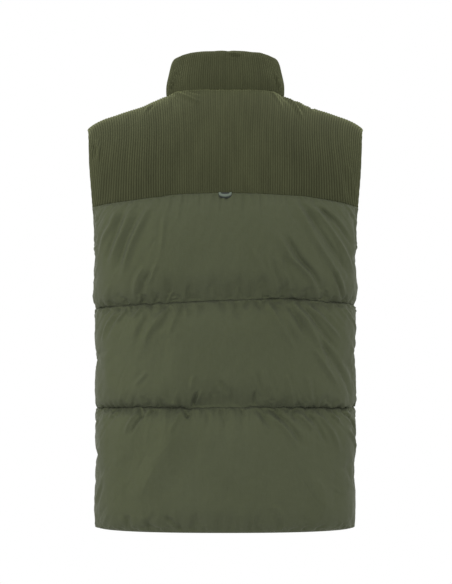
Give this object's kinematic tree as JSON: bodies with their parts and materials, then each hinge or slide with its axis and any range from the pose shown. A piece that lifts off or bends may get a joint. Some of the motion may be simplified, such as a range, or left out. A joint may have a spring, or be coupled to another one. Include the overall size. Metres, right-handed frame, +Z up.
{
  "type": "padded vest",
  "caption": "Sleeveless padded jacket in quilted nylon with a corduroy yoke and stand collar, zipped up the front, filled out as worn.",
  "frame": {"origin": "middle of the neck base, level with the points where the shoulder ridges meet the collar", "axes": "+Z up, the zipped front faces -Y, the back faces +Y, +X is the wearer's left"},
  "size_m": [0.4474, 0.3103, 0.751],
  "materials": {
    "nylon": "matt woven olive nylon shell, faint sheen",
    "corduroy": "olive corduroy, napped upright wales",
    "zip_tape": "dark olive zip tape with moulded teeth",
    "dark_metal": "dark satin metal",
    "rubber": "matt moulded rubber"
  },
  "bodies": {
    "garment": {"back_yoke": "corduroy", "back_upper_panel": "nylon", "back_middle_panel": "nylon", "back_lower_panel": "nylon", "front_yoke_left": "corduroy", "front_yoke_right": "corduroy", "front_upper_left": "nylon", "front_upper_right": "nylon", "front_middle_left": "nylon", "front_middle_right": "nylon", "front_lower_left": "nylon", "front_lower_right": "nylon", "collar": "corduroy", "zip_tape_left": "zip_tape", "zip_tape_right": "zip_tape", "zip_slider": "dark_metal", "zip_box": "dark_metal", "seam_tab": "rubber"},
    "zip_pull": {"zip_pull": "dark_metal"}
  },
  "joints": [
    {"name": "pull_hinge", "type": "hinge", "parent": "garment", "child": "zip_pull", "pos_m": [0, -0.09116, -0.01047], "axis": [-1, 0, 0], "range_deg": [0, 165]}
  ]
}
